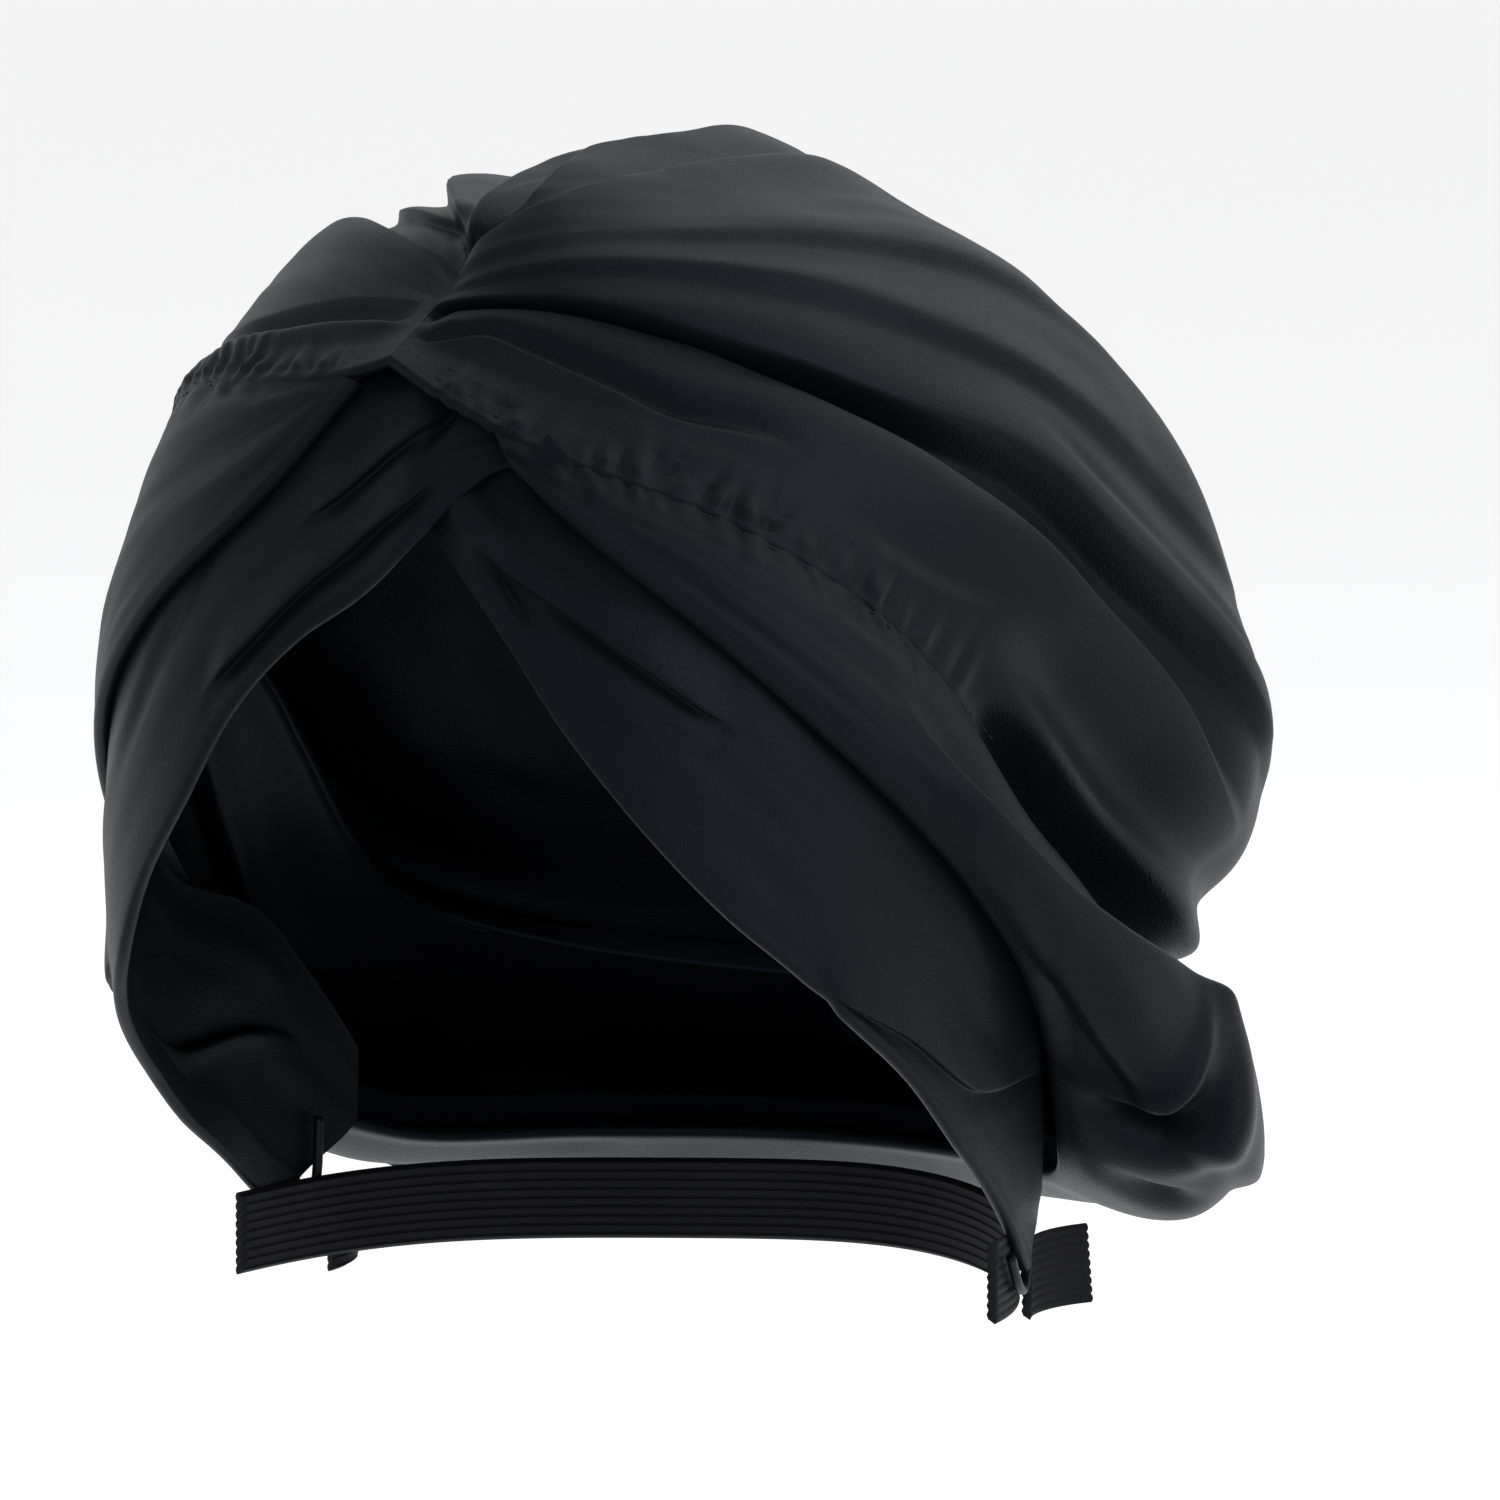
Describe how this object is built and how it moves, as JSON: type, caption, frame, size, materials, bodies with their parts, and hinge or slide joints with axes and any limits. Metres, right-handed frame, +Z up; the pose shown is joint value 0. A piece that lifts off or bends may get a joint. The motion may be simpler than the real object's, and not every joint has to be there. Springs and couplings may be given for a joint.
{
  "type": "turban headwrap",
  "caption": "Pre-tied black satin turban: a gathered full crown over crossed pleated wraps, with a soft pouch and an elastic strap at the nape.",
  "frame": {"origin": "middle of the head hollow, level with the tops of the ears, where the wrap sits on a head", "axes": "+Z up out of the crown, -Y towards the forehead, +X towards the wearer's left"},
  "size_m": [0.2151, 0.2494, 0.2246],
  "materials": {
    "satin": "black satin with a cool sheen",
    "elastic": "ribbed matt black elastic",
    "binding": "narrow black satin binding"
  },
  "bodies": {
    "root": {"crown": "satin", "upper_wrap": "satin", "lower_wrap_left": "satin", "lower_wrap_right": "satin", "nape_strap": "elastic", "strap_tail_left": "elastic", "strap_tail_right": "elastic", "nape_binding_left": "binding", "nape_binding_right": "binding"}
  },
  "joints": []
}
